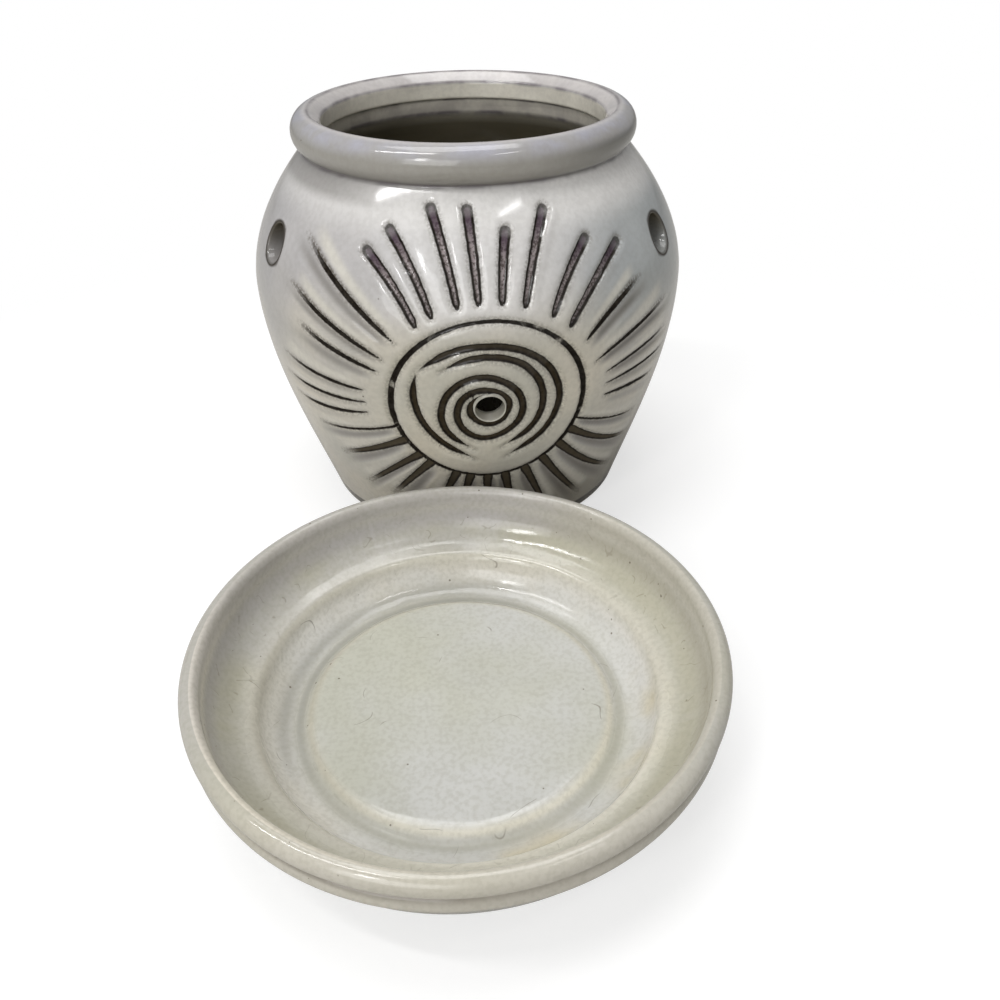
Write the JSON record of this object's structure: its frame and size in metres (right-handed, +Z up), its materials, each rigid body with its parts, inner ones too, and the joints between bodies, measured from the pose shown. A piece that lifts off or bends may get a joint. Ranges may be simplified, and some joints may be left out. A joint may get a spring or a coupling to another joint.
{
  "type": "wax melt warmer",
  "caption": "Glazed ceramic jar with a carved spiral sun, light hole and shoulder vents over a small lamp, with a lift-off ceramic wax dish standing in front.",
  "frame": {"origin": "centre of the underside of the base pad, on the jar's axis, on the table", "axes": "+Z up the jar's axis and out of its mouth; -Y to the front, where the sun is and the dish stands"},
  "size_m": [0.1326, 0.2517, 0.118],
  "materials": {
    "jar_glaze": "glossy cream to grey-green glaze with lavender-grey pooling and dark brown stain in the carving",
    "dish_glaze": "glossy cream to grey glaze, worn, with specks and a warm tint round the cove",
    "pad_felt": "dark pressed felt",
    "grommet_rubber": "black moulded rubber",
    "zinc_steel": "zinc plated",
    "red_fibre": "vulcanised fibre, matte",
    "black_phenolic": "moulded phenolic, satin gloss",
    "white_porcelain": "unglazed steatite",
    "contact_brass": "stamped brass",
    "cap_nickel": "nickel plated brass, rolled",
    "black_vitrite": "black glass, opaque",
    "solder_tip": "soft solder",
    "bulb_glass": "clear",
    "stem_glass": "clear lead glass",
    "lead_nickel": "drawn nickel wire",
    "tungsten": "coiled tungsten"
  },
  "bodies": {
    "jar": {"jar": "jar_glaze", "base_pad": "pad_felt", "cord_grommet": "grommet_rubber", "threaded_nipple": "zinc_steel", "floor_washer": "zinc_steel", "lock_nut": "zinc_steel", "fibre_washer": "red_fibre", "holder_base": "black_phenolic", "holder_sleeve": "black_phenolic", "holder_core": "white_porcelain", "screw_shell": "contact_brass", "centre_contact": "contact_brass", "terminal_plates": "contact_brass", "terminal_screws": "contact_brass"},
    "bulb": {"bulb_cap": "cap_nickel", "bulb_insulator": "black_vitrite", "bulb_tip": "solder_tip", "bulb_glass": "bulb_glass", "bulb_stem": "stem_glass", "lead_wires": "lead_nickel", "filament": "tungsten"},
    "dish": {"dish": "dish_glaze"}
  },
  "joints": [
    {"name": "dish_lift", "type": "slide", "parent": "jar", "child": "dish", "axis": [0, -0.1219, 0.9925], "range_m": [0, 0.15]},
    {"name": "bulb_turn", "type": "hinge", "parent": "jar", "child": "bulb", "pos_m": [0, 0, 0.06], "axis": [0, 0, 1], "continuous": true}
  ]
}
